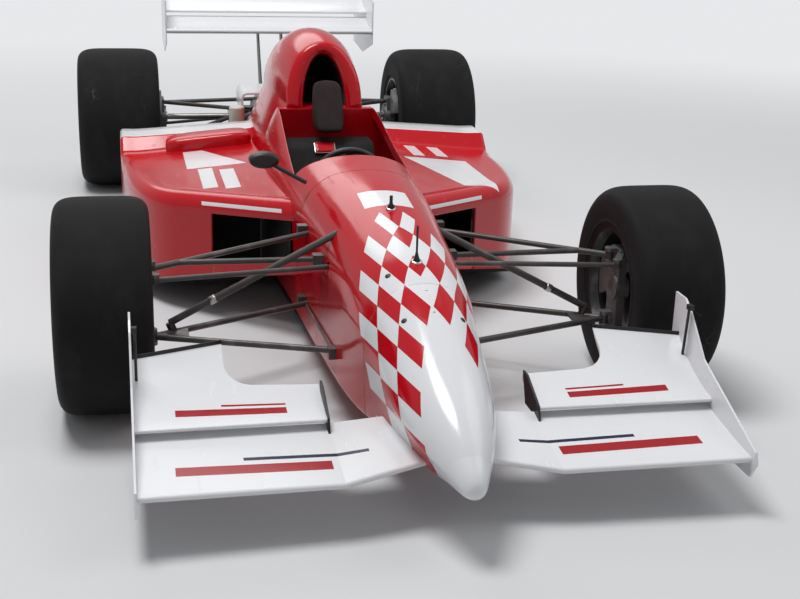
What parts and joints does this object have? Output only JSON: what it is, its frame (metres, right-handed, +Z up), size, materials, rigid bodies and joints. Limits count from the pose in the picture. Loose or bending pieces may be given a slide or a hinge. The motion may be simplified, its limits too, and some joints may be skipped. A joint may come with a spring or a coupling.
{
  "type": "open wheel racing car",
  "caption": "Single-seat open wheel racing car in red and white, with front and rear wings, slick tyres, free wheels and linked steering.",
  "frame": {"origin": "on the ground under the middle of the car's length and width", "axes": "-Y towards the nose, +X to the car's left side, +Z up"},
  "size_m": [1.9962, 4.87, 0.9549],
  "materials": {
    "red_paint": "gloss",
    "white_paint": "gloss",
    "black_composite": "satin",
    "tyre_rubber": "worn slick",
    "wheel_metal": "satin dark",
    "hub_metal": "machined",
    "suspension_steel": "satin dark grey",
    "casting": "cast, matt",
    "radiator_core": "matt dark",
    "clear_plastic": "milky",
    "headrest_cloth": "matt dark maroon",
    "seat_cloth": "matt black",
    "grip": "satin black"
  },
  "bodies": {
    "chassis": {"monocoque": "red_paint", "cockpit_surround": "red_paint", "engine_cover": "red_paint", "sidepod_left": "red_paint", "sidepod_right": "red_paint", "nose_cone": "white_paint", "front_wing_planes": "white_paint", "front_wing_flaps": "white_paint", "front_wing_endplates": "white_paint", "rear_wing_planes": "white_paint", "rear_wing_endplates": "white_paint", "tail_fairing": "white_paint", "dash_panel": "black_composite", "underbody": "black_composite", "diffuser": "black_composite", "mirror": "black_composite", "rear_wing_pylons": "black_composite", "wing_brackets": "black_composite", "aerials": "black_composite", "front_wishbones": "suspension_steel", "rear_wishbones": "suspension_steel", "pushrods": "suspension_steel", "gearbox": "casting", "engine_block": "casting", "rear_uprights": "casting", "radiators": "radiator_core", "header_bottle": "clear_plastic", "headrest": "headrest_cloth", "seat": "seat_cloth"},
    "steering_rack": {"steering_rack": "suspension_steel"},
    "steering_wheel": {"steering_wheel": "grip"},
    "upright_left": {"front_upright_left": "casting"},
    "upright_right": {"front_upright_right": "casting"},
    "wheel_front_left": {"tyre_front_left": "tyre_rubber", "rim_front_left": "wheel_metal", "hub_front_left": "hub_metal"},
    "wheel_front_right": {"tyre_front_right": "tyre_rubber", "rim_front_right": "wheel_metal", "hub_front_right": "hub_metal"},
    "wheel_rear_left": {"tyre_rear_left": "tyre_rubber", "rim_rear_left": "wheel_metal", "hub_rear_left": "hub_metal"},
    "wheel_rear_right": {"tyre_rear_right": "tyre_rubber", "rim_rear_right": "wheel_metal", "hub_rear_right": "hub_metal"}
  },
  "joints": [
    {"name": "steer_left", "type": "hinge", "parent": "chassis", "child": "upright_left", "pos_m": [0.722, -1.34, 0.324], "axis": [0, 0, 1], "range_deg": [-18, 18]},
    {"name": "steer_right", "type": "hinge", "parent": "chassis", "child": "upright_right", "pos_m": [-0.722, -1.34, 0.324], "axis": [0, 0, 1], "range_deg": [-18, 18]},
    {"name": "rack_slide", "type": "slide", "parent": "chassis", "child": "steering_rack", "axis": [1, 0, 0], "range_m": [-0.032, 0.032]},
    {"name": "steering_wheel_turn", "type": "hinge", "parent": "chassis", "child": "steering_wheel", "pos_m": [0, -0.595, 0.512], "axis": [0, -0.9703, -0.2419], "range_deg": [-181, 181]},
    {"name": "spin_front_left", "type": "hinge", "parent": "upright_left", "child": "wheel_front_left", "pos_m": [0.859, -1.34, 0.324], "axis": [1, 0, 0], "continuous": true},
    {"name": "spin_front_right", "type": "hinge", "parent": "upright_right", "child": "wheel_front_right", "pos_m": [-0.859, -1.34, 0.324], "axis": [1, 0, 0], "continuous": true},
    {"name": "spin_rear_left", "type": "hinge", "parent": "chassis", "child": "wheel_rear_left", "pos_m": [0.801, 1.61, 0.343], "axis": [1, 0, 0], "continuous": true},
    {"name": "spin_rear_right", "type": "hinge", "parent": "chassis", "child": "wheel_rear_right", "pos_m": [-0.801, 1.61, 0.343], "axis": [1, 0, 0], "continuous": true}
  ],
  "couplings": [
    {"joint": "steer_right", "follows": "steer_left", "ratio": 1},
    {"joint": "rack_slide", "follows": "steer_left", "m_per_rad": 0.1},
    {"joint": "steering_wheel_turn", "follows": "steer_left", "ratio": -10}
  ]
}
